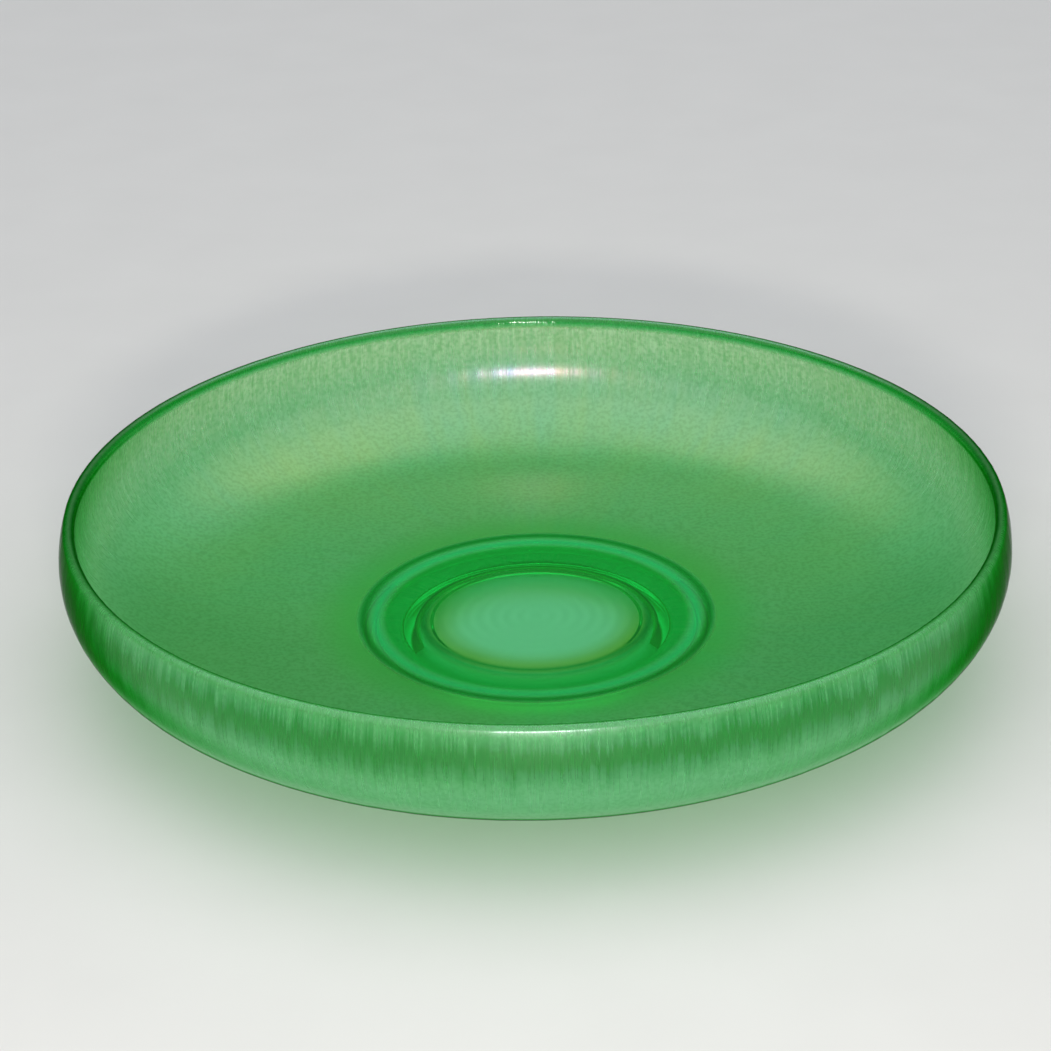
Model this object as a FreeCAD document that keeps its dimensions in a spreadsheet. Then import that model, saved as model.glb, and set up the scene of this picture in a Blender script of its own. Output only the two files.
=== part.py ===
import FreeCAD, Part
import math
import os
import Sketcher

# A low round glass dish, pressed in one piece and then reheated, so that its wall swells outwards and its
# rim turns back in. It is drawn here as the three zones that the glassmaker's work leaves in it: the
# stretched bowl, the clear pressed base inside it, and the foot ring under the base. They meet face to
# face. Sizes are in millimetres and degrees. The foot stands on Z = 0, and the dish's axis is Z.

DIMENSIONS = {
    "bowl_radius": (125.0, "belly, the widest part of the outside"),
    "dish_height": (45.0, "table to the top of the rim"),
    "belly_drop": (11.5, "top of the rim down to the belly"),
    "rim_thickness": (3.2, "glass at the rim and down the wall"),
    "lip_radius": (33.0, "outside curve from the belly in to the rim"),
    "wall_radius": (21.0, "outside curve under the belly"),
    "heel_radius": (50.0, "outside curve from the wall to the floor"),
    "inner_heel_radius": (42.0, "inside curve from the wall to the floor"),
    "floor_slope": (2.5, "rise of the floor from the base outwards, degrees"),
    "floor_thickness": (4.2, "glass of the floor where it meets the base"),
    "base_radius": (46.5, "clear base, and the foot ring where it joins it"),
    "base_step": (0.4, "depth of the clear base below the floor"),
    "base_step_width": (3.0, "how far in from its edge the clear base slopes down"),
    "foot_height": (4.5, "table to the underside of the base"),
    "foot_outer_radius": (43.5, "foot ring at the table, outside"),
    "foot_inner_radius": (36.0, "foot ring at the table, inside"),
    "recess_radius": (31.5, "hollow under the base, where it meets the foot ring"),
    "hollow_radius": (28.5, "shallow hollow in the middle of the underside, at its edge"),
    "hollow_depth": (0.9, "depth of that hollow"),
    "hollow_edge_width": (0.72, "how far in from its edge the hollow reaches its depth"),
    "foot_edge_radius": (1.5, "rounding of the foot ring's two lower edges"),
}
SHEET = "Dimensions"
UP = FreeCAD.Vector(0, 0, 1)
TOLERANCE = 1e-6

# How a sketch names the points of a line or an arc, and its own two axes, which start at its origin.
START, END, CENTRE = 1, 2, 3
X_AXIS, Y_AXIS = -1, -2


def make_sheet(doc):
    """The spreadsheet that drives every sketch: a name, a value with an alias, and a note on each row."""
    sheet = doc.addObject("Spreadsheet::Sheet", SHEET)
    for row, (alias, (value, note)) in enumerate(DIMENSIONS.items(), start=1):
        sheet.set(f"A{row}", alias.replace("_", " "))
        sheet.set(f"B{row}", str(value))
        sheet.set(f"C{row}", note)
        sheet.setAlias(f"B{row}", alias)
    doc.recompute()
    return sheet


def origin_plane(body, role):
    return next(feature for feature in body.Origin.OriginFeatures if feature.Role == role)


def half_section(doc, label):
    """A new body and an empty sketch on its XZ plane, where X is the radius and Y the height."""
    body = doc.addObject("PartDesign::Body", label)
    body.Label = label
    sketch = body.newObject("Sketcher::SketchObject", f"{label}_section")
    sketch.AttachmentSupport = (origin_plane(body, "XZ_Plane"), [""])
    sketch.MapMode = "FlatFace"
    return body, sketch


def revolve(body, sketch):
    """Turns a half section all the way round the dish's axis."""
    turned = body.newObject("PartDesign::Revolution", f"{body.Label}_turned")
    turned.Profile = sketch
    turned.ReferenceAxis = (sketch, ["V_Axis"])
    turned.Angle = 360.0
    sketch.Visibility = False
    return turned


def line(sketch, start, end):
    return sketch.addGeometry(Part.LineSegment(FreeCAD.Vector(*start, 0), FreeCAD.Vector(*end, 0)), False)


def arc(sketch, centre, radius, start_angle, end_angle):
    """An arc that runs anticlockwise between two angles in radians."""
    circle = Part.Circle(FreeCAD.Vector(*centre, 0), UP, radius)
    return sketch.addGeometry(Part.ArcOfCircle(circle, start_angle, end_angle), False)


def rule(sketch, kind, *where):
    return sketch.addConstraint(Sketcher.Constraint(kind, *where))


def bind(sketch, name, formula, kind, *where):
    """A named constraint whose value is a formula on the spreadsheet's cells."""
    index = rule(sketch, kind, *where)
    sketch.renameConstraint(index, name)
    sketch.setExpression(f"Constraints.{name}", formula)


def cell(alias):
    return f"{SHEET}.{alias}"


def size(sheet, alias):
    return float(sheet.get(alias))


def heel_centre(sheet, wall_centre, wall_radius, heel_radius, floor_height):
    """Where the heel's curve is centred, so that it is tangent to the wall's curve and to the floor."""
    slope = math.radians(size(sheet, "floor_slope"))
    base = size(sheet, "base_radius")
    lift = floor_height + heel_radius / math.cos(slope)
    along = wall_centre[0] - base
    rise = wall_centre[1] - lift
    reach = heel_radius - wall_radius
    # The centre is (base + u, lift + u tan slope) for the smaller root u of a u^2 - 2 b u + c = 0.
    a = 1 + math.tan(slope) ** 2
    b = along + rise * math.tan(slope)
    c = along**2 + rise**2 - reach**2
    u = (b - math.sqrt(b * b - a * c)) / a
    return base + u, lift + u * math.tan(slope)


def angle_between(centre, target):
    return math.atan2(target[1] - centre[1], target[0] - centre[0])


def point_at(centre, radius, angle):
    return centre[0] + radius * math.cos(angle), centre[1] + radius * math.sin(angle)


def make_bowl(doc, sheet):
    """Floor, heel, wall and turned-in rim, as one shell with a rounded edge and a hole for the base."""
    body, sketch = half_section(doc, "bowl")
    thick = size(sheet, "rim_thickness")
    slope = math.radians(size(sheet, "floor_slope"))
    base = size(sheet, "base_radius")
    underside = size(sheet, "foot_height")
    topside = underside + size(sheet, "floor_thickness")
    belly_height = size(sheet, "dish_height") - size(sheet, "belly_drop")
    wall_radius = size(sheet, "wall_radius")
    lip_radius = size(sheet, "lip_radius")
    wall_centre = (size(sheet, "bowl_radius") - wall_radius, belly_height)
    lip_centre = (size(sheet, "bowl_radius") - lip_radius, belly_height)
    floor_angle = slope - math.pi / 2

    # Where the rim's round edge is centred, on the middle line of the lip.
    edge_rise = size(sheet, "belly_drop") - thick / 2
    edge_angle = math.asin(edge_rise / (lip_radius - thick / 2))
    edge_centre = point_at(lip_centre, lip_radius - thick / 2, edge_angle)

    def shell_side(inset, heel_radius, floor_height):
        """One side of the shell from the base to the lip, as four geometries joined by tangents."""
        centre = heel_centre(sheet, wall_centre, wall_radius - inset, heel_radius, floor_height)
        turn = angle_between(centre, wall_centre)
        floor_end = point_at(centre, heel_radius, floor_angle)
        floor = line(sketch, (base, floor_height), floor_end)
        heel = arc(sketch, centre, heel_radius, floor_angle, turn)
        wall = arc(sketch, wall_centre, wall_radius - inset, turn, 0)
        lip = arc(sketch, lip_centre, lip_radius - inset, 0, edge_angle)
        rule(sketch, "Tangent", floor, END, heel, START)
        rule(sketch, "Tangent", heel, END, wall, START)
        rule(sketch, "Tangent", wall, END, lip, START)
        return floor, heel, wall, lip

    floor, heel, wall, lip = shell_side(0, size(sheet, "heel_radius"), underside)
    inner_heel_radius = size(sheet, "inner_heel_radius")
    inner_floor, inner_heel, inner_wall, inner_lip = shell_side(thick, inner_heel_radius, topside)
    edge = arc(sketch, edge_centre, thick / 2, edge_angle, edge_angle + math.pi)
    joint = line(sketch, (base, underside), (base, topside))

    rule(sketch, "Tangent", lip, END, edge, START)
    rule(sketch, "Tangent", edge, END, inner_lip, END)
    rule(sketch, "Coincident", floor, START, joint, START)
    rule(sketch, "Coincident", inner_floor, START, joint, END)
    rule(sketch, "Coincident", wall, CENTRE, inner_wall, CENTRE)
    rule(sketch, "Coincident", lip, CENTRE, inner_lip, CENTRE)
    rule(sketch, "Vertical", joint)
    rule(sketch, "Parallel", floor, inner_floor)
    rule(sketch, "Horizontal", wall, CENTRE, wall, END)

    bind(sketch, "base", cell("base_radius"), "DistanceX", X_AXIS, START, floor, START, base)
    bind(sketch, "underside", cell("foot_height"), "DistanceY", X_AXIS, START, floor, START, underside)
    bind(sketch, "floor_glass", cell("floor_thickness"), "DistanceY", joint, START, joint, END,
         topside - underside)
    bind(sketch, "floor_rise", f"{cell('floor_slope')} * 1 deg", "Angle", floor, slope)
    bind(sketch, "heel_curve", cell("heel_radius"), "Radius", heel, size(sheet, "heel_radius"))
    bind(sketch, "wall_curve", cell("wall_radius"), "Radius", wall, wall_radius)
    bind(sketch, "lip_curve", cell("lip_radius"), "Radius", lip, lip_radius)
    bind(sketch, "inner_heel_curve", cell("inner_heel_radius"), "Radius", inner_heel, inner_heel_radius)
    bind(sketch, "edge_curve", f"{cell('rim_thickness')} / 2", "Radius", edge, thick / 2)
    bind(sketch, "belly", cell("bowl_radius"), "DistanceX", X_AXIS, START, wall, END,
         size(sheet, "bowl_radius"))
    bind(sketch, "belly_level", f"{cell('dish_height')} - {cell('belly_drop')}", "DistanceY",
         X_AXIS, START, wall, END, belly_height)
    bind(sketch, "edge_level", f"{cell('dish_height')} - {cell('rim_thickness')} / 2", "DistanceY",
         X_AXIS, START, edge, CENTRE, size(sheet, "dish_height") - thick / 2)
    revolve(body, sketch)
    return body


def make_base_disc(doc, sheet):
    """The clear pressed disc that closes the bowl, a little below its floor and hollowed underneath."""
    body, sketch = half_section(doc, "base_disc")
    base = size(sheet, "base_radius")
    underside = size(sheet, "foot_height")
    rim = underside + size(sheet, "floor_thickness")
    top = rim - size(sheet, "base_step")
    slope_start = base - size(sheet, "base_step_width")
    hollow_edge = size(sheet, "hollow_radius")
    hollow_flat = hollow_edge - size(sheet, "hollow_edge_width")
    hollow = underside + size(sheet, "hollow_depth")

    corners = [
        (0, hollow), (hollow_flat, hollow), (hollow_edge, underside), (base, underside),
        (base, rim), (slope_start, top), (0, top),
    ]
    ceiling, hollow_side, below, side, slope, above, axis = loop = [
        line(sketch, start, end) for start, end in zip(corners, corners[1:] + corners[:1])
    ]
    for one, other in zip(loop, loop[1:] + loop[:1]):
        rule(sketch, "Coincident", one, END, other, START)
    for level in (ceiling, below, above):
        rule(sketch, "Horizontal", level)
    rule(sketch, "Vertical", side)
    rule(sketch, "Vertical", axis)
    rule(sketch, "PointOnObject", axis, END, Y_AXIS)

    bind(sketch, "base", cell("base_radius"), "DistanceX", X_AXIS, START, side, START, base)
    bind(sketch, "underside", cell("foot_height"), "DistanceY", X_AXIS, START, side, START, underside)
    bind(sketch, "floor_glass", cell("floor_thickness"), "DistanceY", side, START, side, END,
         rim - underside)
    bind(sketch, "step", cell("base_step"), "DistanceY", slope, END, slope, START, rim - top)
    bind(sketch, "step_width", cell("base_step_width"), "DistanceX", slope, END, slope, START,
         base - slope_start)
    bind(sketch, "hollow_edge", cell("hollow_radius"), "DistanceX", X_AXIS, START, below, START, hollow_edge)
    bind(sketch, "hollow_width", cell("hollow_edge_width"), "DistanceX", hollow_side, START, hollow_side, END,
         hollow_edge - hollow_flat)
    bind(sketch, "hollow_depth", cell("hollow_depth"), "DistanceY", hollow_side, END, hollow_side, START,
         hollow - underside)
    revolve(body, sketch)
    return body


def make_foot_ring(doc, sheet):
    """The ring that the dish stands on: sloping sides, a narrow flat foot and rounded lower edges."""
    body, sketch = half_section(doc, "foot_ring")
    height = size(sheet, "foot_height")
    outer_top = size(sheet, "base_radius")
    outer_foot = size(sheet, "foot_outer_radius")
    inner_foot = size(sheet, "foot_inner_radius")
    inner_top = size(sheet, "recess_radius")

    corners = [(inner_top, height), (inner_foot, 0), (outer_foot, 0), (outer_top, height)]
    inside, foot, outside, top = [
        line(sketch, start, end) for start, end in zip(corners, corners[1:] + corners[:1])
    ]
    for one, other in ((inside, foot), (foot, outside), (outside, top), (top, inside)):
        rule(sketch, "Coincident", one, END, other, START)
    rule(sketch, "Horizontal", top)
    rule(sketch, "Horizontal", foot)
    rule(sketch, "PointOnObject", foot, START, X_AXIS)

    def bind_radius(name, alias, side, end, value):
        bind(sketch, name, cell(alias), "DistanceX", X_AXIS, START, side, end, value)

    bind_radius("foot_inner", "foot_inner_radius", foot, START, inner_foot)
    bind_radius("foot_outer", "foot_outer_radius", foot, END, outer_foot)
    bind_radius("top_outer", "base_radius", top, START, outer_top)
    bind_radius("top_inner", "recess_radius", top, END, inner_top)
    bind(sketch, "level", cell("foot_height"), "DistanceY", X_AXIS, START, top, START, height)
    turned = revolve(body, sketch)
    doc.recompute()

    rounding = body.newObject("PartDesign::Fillet", "foot_ring_rounded")
    lower_edges = [
        f"Edge{number}"
        for number, edge in enumerate(turned.Shape.Edges, start=1)
        if isinstance(edge.Curve, Part.Circle) and abs(edge.Curve.Center.z) < TOLERANCE
    ]
    rounding.Base = (turned, lower_edges)
    rounding.setExpression("Radius", cell("foot_edge_radius"))
    return body


def check(doc, bodies):
    """Stops before anything is written if an object failed, a sketch is loose or a shape is bad."""
    for item in doc.Objects:
        if "Invalid" in item.State or "Error" in item.State:
            raise RuntimeError(f"{item.Label} failed: {item.State}")
        if item.isDerivedFrom("Sketcher::SketchObject") and item.solve() != 0:
            raise RuntimeError(f"{item.Label} has constraints that cannot all hold")
        if item.isDerivedFrom("Sketcher::SketchObject") and not item.FullyConstrained:
            raise RuntimeError(f"{item.Label} has sizes that nothing fixes")
    for body in bodies:
        shape = body.Shape
        if shape.isNull() or not shape.isValid() or len(shape.Solids) != 1:
            raise RuntimeError(f"{body.Label} is not one valid solid")


def main():
    doc = FreeCAD.newDocument("glass_dish")
    sheet = make_sheet(doc)
    bodies = [make_bowl(doc, sheet), make_base_disc(doc, sheet), make_foot_ring(doc, sheet)]
    doc.recompute()
    check(doc, bodies)
    os.makedirs("parts", exist_ok=True)
    for body in bodies:
        body.Shape.exportStep(os.path.join("parts", f"{body.Label}.step"))
        box = body.Shape.optimalBoundingBox(False)
        print(f"{body.Label}: {body.Shape.Volume / 1000:.1f} cm3, radius {box.XMax:.2f}, "
              f"height {box.ZMin:.2f} to {box.ZMax:.2f}")


main()
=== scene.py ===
import math
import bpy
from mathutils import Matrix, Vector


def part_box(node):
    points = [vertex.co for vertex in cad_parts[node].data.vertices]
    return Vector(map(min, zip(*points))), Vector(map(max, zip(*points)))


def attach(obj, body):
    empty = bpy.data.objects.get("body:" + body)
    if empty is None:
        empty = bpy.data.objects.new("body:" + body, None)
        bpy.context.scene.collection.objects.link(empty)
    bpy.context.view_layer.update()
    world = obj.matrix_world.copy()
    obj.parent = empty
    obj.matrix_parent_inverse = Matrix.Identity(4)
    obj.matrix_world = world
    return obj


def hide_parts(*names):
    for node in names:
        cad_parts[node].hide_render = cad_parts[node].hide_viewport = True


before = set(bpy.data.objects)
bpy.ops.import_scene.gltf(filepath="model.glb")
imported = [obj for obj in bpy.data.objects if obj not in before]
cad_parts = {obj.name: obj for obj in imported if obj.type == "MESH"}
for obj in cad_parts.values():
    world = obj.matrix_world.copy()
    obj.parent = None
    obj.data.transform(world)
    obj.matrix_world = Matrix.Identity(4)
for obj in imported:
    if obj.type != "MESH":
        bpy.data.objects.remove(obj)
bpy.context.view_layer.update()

from types import SimpleNamespace

import bpy
import numpy as np
from mathutils import Matrix, Vector

# The dish is one continuous piece of glass, so one closed mesh, turned from a section, stands for the
# bowl, the base and the foot ring together. Every length is in metres.
MM = 0.001

# Sizes that the frame gives.
bowl_low, bowl_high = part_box("bowl")
base_low, base_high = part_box("base_disc")
BELLY_RADIUS = bowl_high[0]
DISH_HEIGHT = bowl_high[2]
UNDERSIDE = base_low[2]
FLOOR_TOP = base_high[2]
BASE_RADIUS = base_high[0]

# Sizes of the section between them.
BELLY_HEIGHT = DISH_HEIGHT - 11.5 * MM
GLASS = 3.2 * MM
LIP_CURVE = 33.0 * MM
WALL_CURVE = 21.0 * MM
HEEL_CURVE = 50.0 * MM
INNER_HEEL_CURVE = 42.0 * MM
FLOOR_SLOPE = math.radians(2.5)
BASE_STEP = 0.4 * MM
BASE_STEP_WIDTH = 3.0 * MM
FOOT_OUTER = 43.5 * MM
FOOT_INNER = 36.0 * MM
RECESS_RADIUS = 31.5 * MM
FOOT_ROUND = 1.8 * MM
FOOT_FILLET = 2.4 * MM
RECESS_FILLET = 4.5 * MM
HOLLOW_RADIUS = 28.5 * MM
HOLLOW_DEPTH = 0.9 * MM
HOLLOW_EDGE_WIDTH = 0.72 * MM
HOLLOW_ROUND = 0.7 * MM

# The mesh is this fine.
STEPS_AROUND = 900
STEP_ALONG = 1.6 * MM

# The stretched glass is a little wavy, most up the wall and at the rim.
WAVE_SEED = 5
WAVE_SETS = 24
FEWEST_WAVES = 40
MOST_WAVES = 190
WAVE_DEPTH = 0.10 * MM


def arc_points(centre, radius, start, end, step=STEP_ALONG, fewest=6):
    """Points of an arc from one angle to another, without its first point."""
    count = max(fewest, math.ceil(abs(end - start) * radius / step))
    angles = [start + (end - start) * i / count for i in range(1, count + 1)]
    return [(centre[0] + radius * math.cos(a), centre[1] + radius * math.sin(a)) for a in angles]


def line_points(start, end, step=STEP_ALONG):
    """Points of a straight run, without its first point."""
    count = max(1, math.ceil(math.dist(start, end) / step))
    return [
        (start[0] + (end[0] - start[0]) * i / count, start[1] + (end[1] - start[1]) * i / count)
        for i in range(1, count + 1)
    ]


def heel_centre(wall_centre, wall_radius, heel_radius, floor_height):
    """Where a heel curve is centred, so that it is tangent to the wall's curve and to the floor."""
    lift = floor_height + heel_radius / math.cos(FLOOR_SLOPE)
    along = wall_centre[0] - BASE_RADIUS
    rise = wall_centre[1] - lift
    # The centre is (base + u, lift + u tan slope) for the smaller root u of a u^2 - 2 b u + c = 0.
    a = 1 + math.tan(FLOOR_SLOPE) ** 2
    b = along + rise * math.tan(FLOOR_SLOPE)
    c = along**2 + rise**2 - (heel_radius - wall_radius) ** 2
    u = (b - math.sqrt(b * b - a * c)) / a
    return BASE_RADIUS + u, lift + u * math.tan(FLOOR_SLOPE)


def shell_side(inset, heel_radius, floor_height, lip_angle):
    """One side of the bowl's section, from the edge of the base out and up to the lip."""
    wall_centre = (BELLY_RADIUS - WALL_CURVE, BELLY_HEIGHT)
    lip_centre = (BELLY_RADIUS - LIP_CURVE, BELLY_HEIGHT)
    wall_radius = WALL_CURVE - inset
    centre = heel_centre(wall_centre, wall_radius, heel_radius, floor_height)
    turn = math.atan2(wall_centre[1] - centre[1], wall_centre[0] - centre[0])
    floor_angle = FLOOR_SLOPE - math.pi / 2
    floor_end = (
        centre[0] + heel_radius * math.cos(floor_angle),
        centre[1] + heel_radius * math.sin(floor_angle),
    )
    points = [(BASE_RADIUS, floor_height)]
    points += line_points(points[0], floor_end)
    points += arc_points(centre, heel_radius, floor_angle, turn)
    points += arc_points(wall_centre, wall_radius, turn, 0)
    points += arc_points(lip_centre, LIP_CURVE - inset, 0, lip_angle)
    return points


def rounded(corner, before, after, radius, fewest=5):
    """The corner between two straight runs, rounded to a radius."""
    corner, before, after = Vector(corner), Vector(before), Vector(after)
    one = (before - corner).normalized()
    other = (after - corner).normalized()
    half = one.angle(other) / 2
    middle = corner + (one + other).normalized() * (radius / math.sin(half))
    start = corner + one * (radius / math.tan(half))
    end = corner + other * (radius / math.tan(half))
    first = math.atan2(start.y - middle.y, start.x - middle.x)
    last = math.atan2(end.y - middle.y, end.x - middle.x)
    sweep = (last - first + math.pi) % (2 * math.pi) - math.pi
    return [tuple(start)] + arc_points(tuple(middle), radius, first, first + sweep, fewest=fewest)


def foot_and_hollow(before):
    """The section from the bowl's underside round the foot ring to the middle of the hollow under it."""
    foot_top = (BASE_RADIUS, UNDERSIDE)
    outer_foot = (FOOT_OUTER, 0.0)
    inner_foot = (FOOT_INNER, 0.0)
    recess = (RECESS_RADIUS, UNDERSIDE)
    hollow_edge = (HOLLOW_RADIUS, UNDERSIDE)
    hollow_top = (HOLLOW_RADIUS - HOLLOW_EDGE_WIDTH, UNDERSIDE + HOLLOW_DEPTH)
    middle = (0.0, UNDERSIDE + HOLLOW_DEPTH)
    points = rounded(foot_top, before, outer_foot, FOOT_FILLET)
    points += rounded(outer_foot, foot_top, inner_foot, FOOT_ROUND)
    points += rounded(inner_foot, outer_foot, recess, FOOT_ROUND)
    points += rounded(recess, inner_foot, hollow_edge, RECESS_FILLET)
    points += rounded(hollow_edge, recess, hollow_top, HOLLOW_ROUND)
    points += rounded(hollow_top, hollow_edge, middle, HOLLOW_ROUND)
    points += line_points(points[-1], middle)
    return points


def dish_section():
    """The closed half section, from the middle of the base's top side to the middle of its underside."""
    lip_middle = LIP_CURVE - GLASS / 2
    lip_angle = math.asin((DISH_HEIGHT - GLASS / 2 - BELLY_HEIGHT) / lip_middle)
    edge_centre = (
        BELLY_RADIUS - LIP_CURVE + lip_middle * math.cos(lip_angle),
        BELLY_HEIGHT + lip_middle * math.sin(lip_angle),
    )
    base_top = FLOOR_TOP - BASE_STEP
    points = [(0.0, base_top)]
    points += line_points(points[0], (BASE_RADIUS - BASE_STEP_WIDTH, base_top))
    points += line_points(points[-1], (BASE_RADIUS, FLOOR_TOP))
    points += shell_side(GLASS, INNER_HEEL_CURVE, FLOOR_TOP, lip_angle)[1:]
    points += arc_points(edge_centre, GLASS / 2, lip_angle + math.pi, lip_angle, fewest=14)
    # The outer side comes back down, without the point at the lip that it shares with the round edge.
    points += shell_side(0, HEEL_CURVE, UNDERSIDE, lip_angle)[-2:0:-1]
    return points + foot_and_hollow(points[-1])


def running_length(section):
    """How far along the section each of its points is, from the middle of the base's top side."""
    steps = [math.dist(p, q) for p, q in zip(section, section[1:])]
    return np.concatenate([[0.0], np.cumsum(steps)])


def stretch_waves(angles):
    """Uneven waves round the dish, between 0 and 1, left by stretching the soft glass."""
    chance = np.random.default_rng(WAVE_SEED)
    counts = chance.integers(FEWEST_WAVES, MOST_WAVES, WAVE_SETS)
    phases = chance.uniform(0, 2 * math.pi, WAVE_SETS)
    total = sum(np.cos(count * angles + phase) for count, phase in zip(counts, phases))
    return (total - total.min()) / (total.max() - total.min())


def turned_points(ring):
    """The section's points off the axis, turned round it and drawn in a little by the waves."""
    angles = np.arange(STEPS_AROUND) * 2 * math.pi / STEPS_AROUND
    growth = np.clip((ring[:, 0] - BASE_RADIUS) / (BELLY_RADIUS - BASE_RADIUS), 0, 1) ** 2
    radius = ring[:, :1] - WAVE_DEPTH * growth[:, None] * stretch_waves(angles)[None, :]
    height = np.repeat(ring[:, 1:], STEPS_AROUND, axis=1)
    return np.stack([radius * np.cos(angles), radius * np.sin(angles), height], axis=-1).reshape(-1, 3)


def turned_faces(rows, top, bottom):
    """Quads between the rows of points, and triangles to the two points on the axis."""
    faces = []
    last = (rows - 1) * STEPS_AROUND
    for i in range(STEPS_AROUND):
        j = (i + 1) % STEPS_AROUND
        faces.append((top, i, j))
        for low in range(0, last, STEPS_AROUND):
            high = low + STEPS_AROUND
            faces.append((low + i, high + i, high + j, low + j))
        faces.append((bottom, last + j, last + i))
    return faces


def turn_section(name, section):
    """Turns a half section, whose two ends are on the axis, into a closed mesh."""
    ring = np.array(section[1:-1])
    verts = turned_points(ring)
    ends = [(0, 0, section[0][1]), (0, 0, section[-1][1])]
    faces = turned_faces(len(ring), len(verts), len(verts) + 1)
    mesh = bpy.data.meshes.new(name)
    mesh.from_pydata([*map(tuple, verts), *ends], [], faces)
    along = running_length(section)
    lengths = np.concatenate([np.repeat(along[1:-1], STEPS_AROUND), along[[0, -1]]])
    mesh.attributes.new("along", "FLOAT", "POINT").data.foreach_set("value", lengths.astype(np.float32))
    mesh.polygons.foreach_set("use_smooth", [True] * len(mesh.polygons))
    mesh.update()
    piece = bpy.data.objects.new(name, mesh)
    bpy.context.scene.collection.objects.link(piece)
    return piece


# A mix node has sockets for each kind of value under the same names. These are its colour sockets.
FIRST_COLOUR, SECOND_COLOUR, MIXED_COLOUR = 6, 7, 2


class Nodes:
    """A short way to add and link a material's nodes."""

    def __init__(self, name):
        self.material = bpy.data.materials.new(name)
        self.material.use_nodes = True
        self.tree = self.material.node_tree
        self.tree.nodes.clear()

    def add(self, kind, inputs=None, **settings):
        node = self.tree.nodes.new(kind)
        for key, value in settings.items():
            setattr(node, key, value)
        for key, value in (inputs or {}).items():
            self.feed(node.inputs[key], value)
        return node

    def feed(self, socket, value):
        if isinstance(value, bpy.types.NodeSocket):
            self.tree.links.new(value, socket)
        else:
            socket.default_value = value

    def math(self, operation, *values, clamp=False):
        node = self.add("ShaderNodeMath", operation=operation, use_clamp=clamp)
        for socket, value in zip(node.inputs, values):
            self.feed(socket, value)
        return node.outputs[0]

    def total(self, first, *others):
        for other in others:
            first = self.math("ADD", first, other)
        return first

    def product(self, first, *others):
        for other in others:
            first = self.math("MULTIPLY", first, other)
        return first

    def less(self, value, amount):
        return self.math("SUBTRACT", value, amount)

    def rest(self, part, share=1.0):
        """What is left of 1 once the given share of a part is taken away."""
        return self.less(1.0, self.product(part, share))

    def step(self, value, low, high, first=0.0, last=1.0):
        """A smooth change from first to last as value goes from low to high."""
        node = self.add("ShaderNodeMapRange", interpolation_type="SMOOTHSTEP")
        for key, number in (("Value", value), ("From Min", low), ("From Max", high),
                            ("To Min", first), ("To Max", last)):
            self.feed(node.inputs[key], number)
        return node.outputs["Result"]

    def band(self, value, middle, reach):
        """1 at the middle, falling smoothly to 0 at the given reach on both sides."""
        return self.step(self.math("ABSOLUTE", self.less(value, middle)), 0, reach, 1.0, 0.0)

    def mix(self, factor, first, second):
        node = self.add("ShaderNodeMix", data_type="RGBA")
        self.feed(node.inputs["Factor"], factor)
        self.feed(node.inputs[FIRST_COLOUR], first)
        self.feed(node.inputs[SECOND_COLOUR], second)
        return node.outputs[MIXED_COLOUR]


# Zones of the skin. Each pair in brackets is where a change starts and ends: out from the axis, or down
# from the rim. The two edges are along the section from the top of the rim, less than zero inside it.
SKIN_EDGE = (BASE_RADIUS, BASE_RADIUS + 2.5 * MM)
# Near the base, painted shade: the floor darker green.
NEAR_BASE = 18 * MM
NEAR_RIM = (8 * MM, 34 * MM)
# Inside the rim, a paler zone of painted sheen.
INSIDE_RIM = (4 * MM, 20 * MM)
# The dark band outside under the rim is painted shade, for the dark room reflected there.
DARK_BAND_START = (2 * MM, 8 * MM)
DARK_BAND_END = (9 * MM, 18 * MM)
DARK_BAND_RAGGED = 9 * MM
RIM_TURN = 1 * MM
BARE_EDGE, BARE_EDGE_REACH = -1.6 * MM, 3.0 * MM
# Just outside the rim's top, a painted highlight line.
PALE_EDGE, PALE_EDGE_REACH = 1.6 * MM, 2.4 * MM

# Streaks: how many fit in a radius, and how long they are. Grain and clouds: how many fit in a metre.
FINE_STREAKS = (180, 30 * MM)
BROAD_STREAKS = (34, 40 * MM)
GRAIN = 900.0
CLOUDS = 15.0

# Tints of the satin skin.
FLOOR_TINT = (0.26, 0.72, 0.36, 1)
NEAR_BASE_TINT = (0.14, 0.78, 0.24, 1)
WALL_TINT = (0.56, 0.70, 0.53, 1)
OUTSIDE_TINT = (0.26, 0.60, 0.32, 1)
PALE_TINT = (0.95, 0.95, 0.82, 1)
DEEP_TINT = (0.02, 0.30, 0.05, 1)
RIM_TINT = (0.04, 0.44, 0.08, 1)

# Tints of the clear base, from its middle outwards, and of the foot under it.
MIDDLE_TINT = (0.98, 1.0, 1.0, 1)
OLIVE_TINT = (0.74, 0.66, 0.20, 1)
RING_TINT = (0.48, 0.98, 0.72, 1)
RIDGE_TINT = (0.08, 1.0, 0.45, 1)
GROOVE_TINT = (0.02, 0.36, 0.13, 1)
FOOT_TINT = (0.02, 0.60, 0.24, 1)

# Where those tints lie on the base, out from the axis, and on the foot, up from the table.
OLIVE_START = (20 * MM, 29 * MM)
OLIVE_END = (29 * MM, 33 * MM)
MOULD_RING_PITCH = 3.6 * MM
RIDGE, RIDGE_REACH = 43.2 * MM, 3.2 * MM
INNER_GROOVE, INNER_GROOVE_REACH = 30.5 * MM, 2.2 * MM
OUTER_GROOVE, OUTER_GROOVE_REACH = 46.7 * MM, 2.0 * MM
FOOT_TINT_TOP = (1 * MM, 3.5 * MM)

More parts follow.
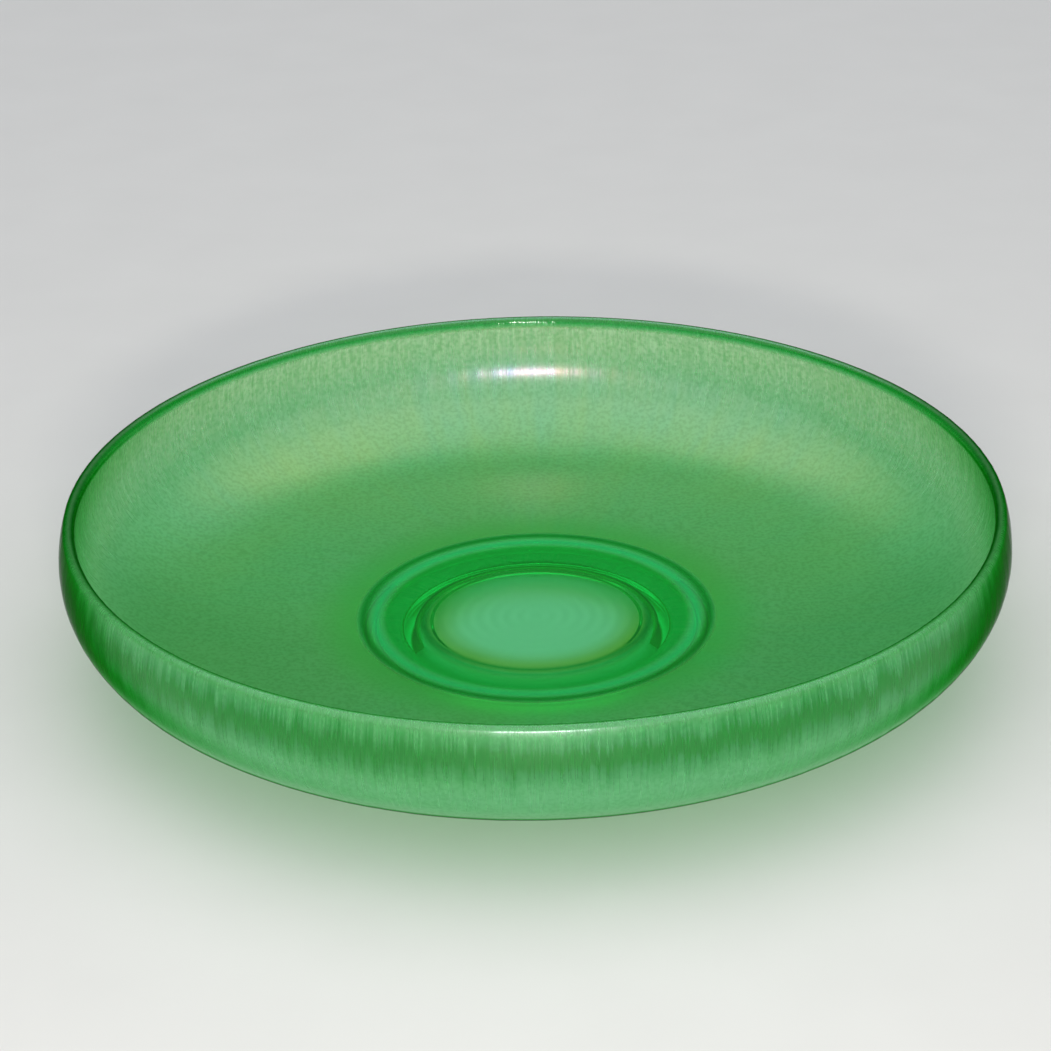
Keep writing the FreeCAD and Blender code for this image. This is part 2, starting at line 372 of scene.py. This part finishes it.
# The glass itself. Dissolved uranium gives its green. Its faint glow is painted light, a steady emission
# standing in for the uranium's fluorescence.
GLASS_COLOUR = (0.05, 0.88, 0.54, 1)
GLASS_DENSITY = 170.0
GLOW = (0.05, 1.0, 0.15, 1)
GLOW_STRENGTH = 0.06
EDGE_ON_TINT = (0.05, 0.68, 0.14, 1)
WHITE = (1, 1, 1, 1)


def surface_places(n, section):
    """Where a point of the dish is: from the axis, above the table, and along the section."""
    at = SimpleNamespace()
    at.position = n.add("ShaderNodeTexCoord").outputs["Object"]
    at.x, at.y, at.z = n.add("ShaderNodeSeparateXYZ", {"Vector": at.position}).outputs
    at.radius = n.math("SQRT", n.total(n.product(at.x, at.x), n.product(at.y, at.y)))
    at.along = n.add("ShaderNodeAttribute", attribute_name="along").outputs["Fac"]
    highest = max(range(len(section)), key=lambda i: section[i][1])
    at.rim = float(running_length(section)[highest])
    at.from_rim = n.math("ABSOLUTE", n.less(at.along, at.rim))
    return at


def streaks(n, at, count, length):
    """Noise drawn out along the section, so many streaks in a radius and each about so long."""
    # A point's place on the unit circle round the axis is the same at every height.
    safe_radius = n.math("MAXIMUM", at.radius, 1 * MM)
    place = n.add("ShaderNodeCombineXYZ", {
        "X": n.product(n.math("DIVIDE", at.x, safe_radius), count),
        "Y": n.product(n.math("DIVIDE", at.y, safe_radius), count),
        "Z": n.math("DIVIDE", at.along, length),
    })
    noise = n.add("ShaderNodeTexNoise", {"Vector": place.outputs[0], "Scale": 1.0, "Detail": 3.0})
    return noise.outputs["Fac"]


def add_noises(n, at):
    """The streaks left by stretching, the grain of the satin and the cloudiness of the film."""
    at.fine = streaks(n, at, *FINE_STREAKS)
    at.broad = streaks(n, at, *BROAD_STREAKS)
    at.grain, at.clouds = [
        n.add("ShaderNodeTexNoise", {"Vector": at.position, "Scale": scale, "Detail": 2.0}).outputs["Fac"]
        for scale in (GRAIN, CLOUDS)
    ]


def add_zones(n, at):
    """Zones of the surface, each from 0 to 1."""
    at.stretched = n.step(at.radius, *SKIN_EDGE)
    at.outside = n.step(at.along, at.rim - RIM_TURN, at.rim + RIM_TURN)
    at.inside = n.rest(at.outside)
    at.bare_edge = n.band(at.along, at.rim + BARE_EDGE, BARE_EDGE_REACH)
    at.pale_edge = n.band(at.along, at.rim + PALE_EDGE, PALE_EDGE_REACH)
    at.near_rim = n.step(at.from_rim, *NEAR_RIM, 1.0, 0.0)
    at.upper_outside = n.product(at.outside, at.near_rim)
    at.inside_rim = n.product(at.inside, n.step(at.from_rim, *INSIDE_RIM, 1.0, 0.0))
    at.near_base = n.band(at.radius, BASE_RADIUS, NEAR_BASE)
    at.satin = n.product(at.stretched, n.rest(at.bare_edge))
    at.streaked = n.product(at.satin, at.near_rim)
    # The dark band under the rim outside is painted shade, for the dark room reflected there. It starts
    # and ends raggedly, streak by streak.
    ragged = n.product(n.less(n.total(at.fine, at.broad), 1.0), DARK_BAND_RAGGED)
    ragged = n.total(at.from_rim, ragged)
    band = n.product(n.step(ragged, *DARK_BAND_START), n.step(ragged, *DARK_BAND_END, 1.0, 0.0))
    at.dark_band = n.product(band, at.outside)
    at.ridge = n.band(at.radius, RIDGE, RIDGE_REACH)


def relief(n, at):
    """Streaks that deepen towards the rim, and the fine grain of the satin film."""
    streak_height = n.product(n.total(at.fine, at.broad), at.streaked)
    grain_height = n.product(at.grain, 0.25, at.satin)
    height = n.total(streak_height, grain_height)
    bump = n.add("ShaderNodeBump", {"Height": height, "Strength": 1.0, "Distance": 0.035 * MM})
    return bump.outputs["Normal"]


def skin_colour(n, at):
    """The satin skin: green on the floor, paler up the wall and darker in streaks, with painted light:
    sheen up the wall and inside the rim, a highlight line at the rim, and shade under the rim outside and
    near the base.
    """
    # Paler up the wall: partly the satin film's own haze, partly painted sheen.
    colour = n.mix(n.step(at.z, UNDERSIDE + 6 * MM, BELLY_HEIGHT), FLOOR_TINT, WALL_TINT)
    colour = n.mix(at.outside, colour, OUTSIDE_TINT)
    # Painted sheen: a paler zone inside the rim.
    colour = n.mix(n.product(at.inside_rim, 0.5), colour, PALE_TINT)
    # Painted shade: the dark band under the rim outside.
    colour = n.mix(at.dark_band, colour, DEEP_TINT)
    colour = n.mix(n.product(n.step(at.fine, 0.35, 0.65), at.streaked, 0.22), colour, DEEP_TINT)
    colour = n.mix(n.step(at.grain, 0.35, 0.70, 0.0, 0.42), colour, DEEP_TINT)
    # Painted shade: darker green on the floor near the base.
    colour = n.mix(n.product(at.near_base, 0.8), colour, NEAR_BASE_TINT)
    # Painted highlight: a faint pale line at the rim.
    colour = n.mix(n.product(at.pale_edge, 0.12), colour, PALE_TINT)
    return n.mix(at.bare_edge, colour, RIM_TINT)


def base_colour(n, at):
    """The clear base: nearly colourless in the middle, olive near the edge of the hollow, then green."""
    olive = n.product(n.step(at.radius, *OLIVE_START), n.step(at.clouds, 0.25, 0.60, 0.4, 1.0))
    colour = n.mix(olive, MIDDLE_TINT, OLIVE_TINT)
    rings = n.math("SINE", n.product(at.radius, 2 * math.pi / MOULD_RING_PITCH))
    colour = n.mix(n.step(rings, -1, 1, 0.0, 0.07), colour, GROOVE_TINT)
    colour = n.mix(n.step(at.radius, *OLIVE_END), colour, RING_TINT)
    colour = n.mix(at.ridge, colour, RIDGE_TINT)
    inner_groove = n.band(at.radius, INNER_GROOVE, INNER_GROOVE_REACH)
    outer_groove = n.band(at.radius, OUTER_GROOVE, OUTER_GROOVE_REACH)
    colour = n.mix(n.math("MAXIMUM", inner_groove, outer_groove), colour, GROOVE_TINT)
    return n.mix(n.step(at.z, *FOOT_TINT_TOP, 0.85, 0.0), colour, FOOT_TINT)


def roughness(n, at):
    """Polished at the base and the rim's edge, satin between, and uneven in the streaks."""
    unevenness = n.product(n.less(at.fine, 0.5), at.streaked, 0.2)
    return n.total(n.step(at.satin, 0, 1, 0.04, 0.28), unevenness)


def haze(n, at):
    """How much of the light the skin scatters instead of letting through."""
    # More haze up the wall: partly the satin's own haze, partly painted sheen.
    amount = n.product(at.satin, n.step(at.z, UNDERSIDE + 6 * MM, BELLY_HEIGHT, 0.22, 0.30))
    # More haze in the painted sheen inside the rim.
    amount = n.total(amount, n.product(at.satin, at.inside_rim, 0.28))
    # Less haze in the painted shade near the base.
    amount = n.product(amount, n.rest(at.near_base, 0.5))
    # Much less haze in the painted shade band under the rim.
    amount = n.product(amount, n.rest(at.dark_band, 0.85))
    amount = n.product(amount, n.rest(at.upper_outside, 0.4))
    on_top = n.step(at.z, UNDERSIDE, FLOOR_TOP - BASE_STEP)
    return n.total(amount, n.product(at.ridge, on_top, 0.17))


def film_thickness(n, at):
    """The iridescent film of metal salts, about 140 millionths of a millimetre inside, thinner outside."""
    thickness = n.step(at.clouds, 0.30, 0.70, 130.0, 152.0)
    thickness = n.total(thickness, n.product(n.less(at.broad, 0.5), 24.0))
    thickness = n.less(thickness, n.product(at.upper_outside, 24.0))
    low_outside = n.product(at.outside, n.step(at.z, 16 * MM, BELLY_HEIGHT, 0.7, 0.8))
    # No film in the painted shade band under the rim, and much thinner film on the outside.
    worn = n.math("MAXIMUM", at.dark_band, low_outside)
    return n.product(thickness, at.satin, n.rest(worn))


def coat_tint(n, at):
    """Deep green where the wall is seen edge on, most outside and high up the wall: partly the long path
    through the glass, partly painted shade over the pale reflections there.
    """
    facing = n.add("ShaderNodeLayerWeight", {"Blend": 0.5}).outputs["Facing"]
    upper_wall = n.product(n.step(facing, 0.40, 0.80), n.step(at.z, 20 * MM, 32 * MM))
    edge_on = n.math("MAXIMUM", upper_wall, n.step(facing, 0.80, 0.97))
    strength = n.math("MAXIMUM", n.step(at.outside, 0, 1, 0.2, 1.0), at.bare_edge)
    return n.mix(n.product(edge_on, strength), WHITE, EDGE_ON_TINT)


def glass_material(section):
    """Green uranium glass: satin, streaked and iridescent where it was stretched, clear in the base."""
    n = Nodes("uranium_glass")
    at = surface_places(n, section)
    add_noises(n, at)
    add_zones(n, at)
    shader = n.add("ShaderNodeBsdfPrincipled", {
        "Base Color": n.mix(at.stretched, base_colour(n, at), skin_colour(n, at)),
        "Roughness": roughness(n, at),
        "Normal": relief(n, at),
        "IOR": 1.5,
        "Transmission Weight": n.math("SUBTRACT", 1.0, haze(n, at), clamp=True),
        "Coat Weight": at.stretched,
        "Coat Roughness": 0.12,
        "Coat IOR": 1.02,
        "Coat Tint": coat_tint(n, at),
        "Thin Film Thickness": film_thickness(n, at),
        "Thin Film IOR": 1.85,
        # Painted light: a faint steady glow.
        "Emission Color": GLOW,
        "Emission Strength": GLOW_STRENGTH,
    })
    volume = n.add("ShaderNodeVolumeAbsorption", {"Color": GLASS_COLOUR, "Density": GLASS_DENSITY})
    n.add("ShaderNodeOutputMaterial", {"Surface": shader.outputs[0], "Volume": volume.outputs[0]})
    return n.material


def build_dish():
    section = dish_section()
    dish = turn_section("glass_dish", section)
    dish.data.materials.append(glass_material(section))
    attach(dish, "root")
    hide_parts("bowl", "base_disc", "foot_ring")


def table_material():
    """A pale matt table, with a trace of unevenness."""
    n = Nodes("pale_table")
    position = n.add("ShaderNodeTexCoord").outputs["Object"]
    noise = n.add("ShaderNodeTexNoise", {"Vector": position, "Scale": 30.0, "Detail": 4.0})
    colour = n.mix(noise.outputs["Fac"], (0.68, 0.68, 0.67, 1), (0.72, 0.72, 0.71, 1))
    shader = n.add("ShaderNodeBsdfPrincipled", {"Base Color": colour, "Roughness": 0.6})
    n.add("ShaderNodeOutputMaterial", {"Surface": shader.outputs[0]})
    return n.material


def build_floor():
    bpy.ops.mesh.primitive_plane_add(size=6.0, location=(0, 0, 0))
    floor = bpy.context.object
    floor.name = "table"
    floor.data.materials.append(table_material())


# The camera looks down at the dish from in front, a little turned about its own axis.
CAMERA_DISTANCE = 0.750
CAMERA_ELEVATION = math.radians(25.61)
CAMERA_ROLL = -0.0212
FOCAL_LENGTH = 97.55
SENSOR_WIDTH = 36.0
AIM_OFFSET = Vector((-0.0024, 0.0, -0.0100))


def place_camera():
    rim_centre = Vector((0, 0, DISH_HEIGHT))
    back = Vector((0, -math.cos(CAMERA_ELEVATION), math.sin(CAMERA_ELEVATION)))
    data = bpy.data.cameras.new("camera")
    data.sensor_width = SENSOR_WIDTH
    data.lens = FOCAL_LENGTH
    data.clip_start = 10 * MM
    camera = bpy.data.objects.new("camera", data)
    bpy.context.scene.collection.objects.link(camera)
    place = rim_centre + back * CAMERA_DISTANCE
    aim = rim_centre + AIM_OFFSET - place
    turn = aim.to_track_quat("-Z", "Y").to_matrix() @ Matrix.Rotation(CAMERA_ROLL, 3, "Z")
    camera.matrix_world = Matrix.Translation(place) @ turn.to_4x4()
    bpy.context.scene.camera = camera


# How bright the room is, from low down to the ceiling. The ceiling's light is centred above and in front.
CEILING_DIRECTION = Vector((0.0, -0.30, 0.95))
ROOM_TOP = 0.30
CEILING_START = 0.65
ROOM_LIGHT = 0.05
CEILING_LIGHT = 0.95
SKY_COLOUR = (0.95, 0.97, 1.0, 1)

# The lamps, in metres and watts. The small one by the camera lights the far wall and the rim.
OVERHEAD = {"place": (0.0, 0.2, 1.5), "width": 1.6, "height": 1.6, "power": 4.4, "colour": (1, 1, 1)}
BY_CAMERA = {"place": (0.0, -0.85, 0.31), "width": 0.20, "height": 0.05, "power": 5.3,
             "colour": (1.0, 0.96, 0.86)}


def area_light(name, target, place, width, height, power, colour):
    data = bpy.data.lights.new(name, "AREA")
    data.shape = "RECTANGLE"
    data.size = width
    data.size_y = height
    data.energy = power
    data.color = colour
    light = bpy.data.objects.new(name, data)
    bpy.context.scene.collection.objects.link(light)
    direction = Vector(target) - Vector(place)
    turn = direction.to_track_quat("-Z", "Y").to_matrix().to_4x4()
    light.matrix_world = Matrix.Translation(Vector(place)) @ turn


def light_room():
    """A pale ceiling over a darker room."""
    world = bpy.data.worlds.new("studio")
    world.use_nodes = True
    tree = world.node_tree
    direction = tree.nodes.new("ShaderNodeTexCoord")
    towards = tree.nodes.new("ShaderNodeVectorMath")
    towards.operation = "DOT_PRODUCT"
    towards.inputs[1].default_value = CEILING_DIRECTION
    rise = tree.nodes.new("ShaderNodeMapRange")
    rise.interpolation_type = "SMOOTHSTEP"
    rise.inputs["From Min"].default_value = ROOM_TOP
    rise.inputs["From Max"].default_value = CEILING_START
    rise.inputs["To Min"].default_value = ROOM_LIGHT
    rise.inputs["To Max"].default_value = CEILING_LIGHT
    background = tree.nodes["Background"]
    background.inputs["Color"].default_value = SKY_COLOUR
    tree.links.new(direction.outputs["Generated"], towards.inputs[0])
    tree.links.new(towards.outputs["Value"], rise.inputs["Value"])
    tree.links.new(rise.outputs["Result"], background.inputs["Strength"])
    bpy.context.scene.world = world


build_dish()
build_floor()
place_camera()
light_room()
area_light("overhead", (0, 0, 0), **OVERHEAD)
area_light("lamp_by_camera", (0, 0, 20 * MM), **BY_CAMERA)
bpy.context.scene.view_settings.view_transform = "Standard"
